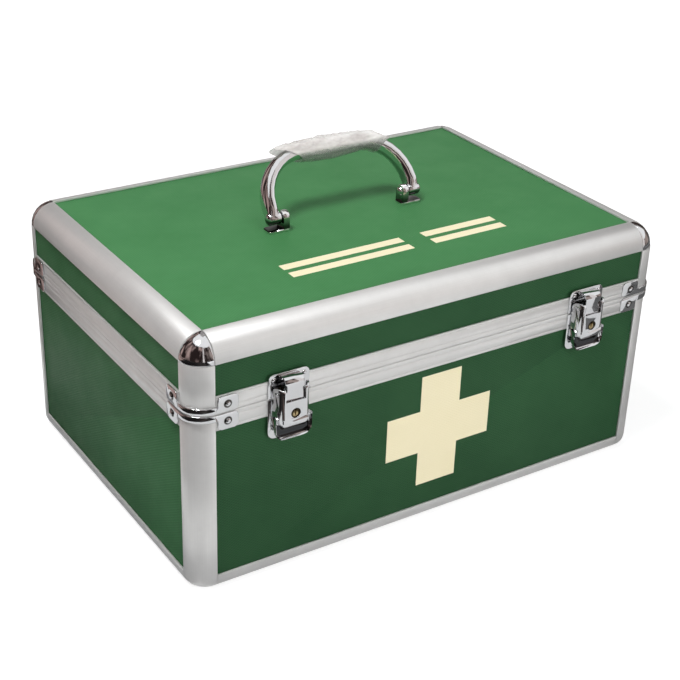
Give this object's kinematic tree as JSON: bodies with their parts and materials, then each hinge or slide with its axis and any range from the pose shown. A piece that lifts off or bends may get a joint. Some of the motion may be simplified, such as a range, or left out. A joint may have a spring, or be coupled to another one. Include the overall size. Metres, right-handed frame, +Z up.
{
  "type": "first aid box",
  "caption": "Hinged first aid box of green laminate panels in aluminium edge extrusions, with chrome ball corners, corner braces, a folding handle and lever latches with locks.",
  "frame": {"origin": "middle of the box's body on the plane that it rests on", "axes": "+Z up, front with the latches faces -Y, +X to the right seen from the front"},
  "size_m": [0.3848, 0.2799, 0.2344],
  "materials": {
    "laminate": "fine-grained green laminate on thin board",
    "aluminium": "satin anodised extrusion",
    "chrome": "bright chrome plate on pressed steel",
    "brass": "turned lock plug",
    "lining": "thin foam-backed lining",
    "film": "crumpled protective film",
    "print": "cream screen print on the laminate"
  },
  "bodies": {
    "base": {"base_brace_front_left": "chrome", "base_brace_front_right": "chrome", "base_brace_rear_left": "chrome", "base_brace_rear_right": "chrome", "base_edge_front": "aluminium", "base_edge_left": "aluminium", "base_edge_rear": "aluminium", "base_edge_right": "aluminium", "base_floor_panel": "laminate", "base_front_panel": "laminate", "base_left_panel": "laminate", "base_lining": "lining", "base_post_front_left": "aluminium", "base_post_front_right": "aluminium", "base_post_rear_left": "aluminium", "base_post_rear_right": "aluminium", "base_rear_panel": "laminate", "base_right_panel": "laminate", "base_rim": "aluminium", "hinge_base_leaf_left": "chrome", "hinge_base_leaf_right": "chrome", "latch_plate_left": "chrome", "latch_plate_right": "chrome"},
    "lid": {"handle_foot_left": "chrome", "handle_foot_right": "chrome", "hinge_lid_leaf_left": "chrome", "hinge_lid_leaf_right": "chrome", "latch_catch_left": "chrome", "latch_catch_right": "chrome", "lid_ball_corner_front_left": "chrome", "lid_ball_corner_front_right": "chrome", "lid_ball_corner_rear_left": "chrome", "lid_ball_corner_rear_right": "chrome", "lid_brace_front_left": "chrome", "lid_brace_front_right": "chrome", "lid_brace_rear_left": "chrome", "lid_brace_rear_right": "chrome", "lid_edge_front": "aluminium", "lid_edge_left": "aluminium", "lid_edge_rear": "aluminium", "lid_edge_right": "aluminium", "lid_front_panel": "laminate", "lid_left_panel": "laminate", "lid_lining": "lining", "lid_post_front_left": "aluminium", "lid_post_front_right": "aluminium", "lid_post_rear_left": "aluminium", "lid_post_rear_right": "aluminium", "lid_rear_panel": "laminate", "lid_right_panel": "laminate", "lid_rim": "aluminium", "lid_top_panel": "laminate"},
    "handle": {"handle_bail": "chrome", "handle_film": "film"},
    "latch_lever_left": {"latch_lever_left": "chrome"},
    "latch_lever_right": {"latch_lever_right": "chrome"},
    "latch_lock_left": {"latch_lock_left": "brass"},
    "latch_lock_right": {"latch_lock_right": "brass"}
  },
  "joints": [
    {"name": "lid_hinge", "type": "hinge", "parent": "base", "child": "lid", "pos_m": [0, 0.1349, 0.1333], "axis": [-1, 0, 0], "range_deg": [0, 100]},
    {"name": "handle_pivot", "type": "hinge", "parent": "lid", "child": "handle", "pos_m": [0, -0.0035, 0.192], "axis": [-1, 0, 0], "range_deg": [-125, 51]},
    {"name": "latch_left_lever", "type": "hinge", "parent": "base", "child": "latch_lever_left", "pos_m": [-0.1223, -0.138, 0.1385], "axis": [-1, 0, 0], "range_deg": [0, 95]},
    {"name": "latch_right_lever", "type": "hinge", "parent": "base", "child": "latch_lever_right", "pos_m": [0.1223, -0.138, 0.1385], "axis": [-1, 0, 0], "range_deg": [0, 95]},
    {"name": "latch_left_lock", "type": "hinge", "parent": "latch_lever_left", "child": "latch_lock_left", "pos_m": [-0.1223, -0.14, 0.1249], "axis": [0, 1, 0], "range_deg": [0, 90]},
    {"name": "latch_right_lock", "type": "hinge", "parent": "latch_lever_right", "child": "latch_lock_right", "pos_m": [0.1223, -0.14, 0.1249], "axis": [0, 1, 0], "range_deg": [0, 90]}
  ]
}
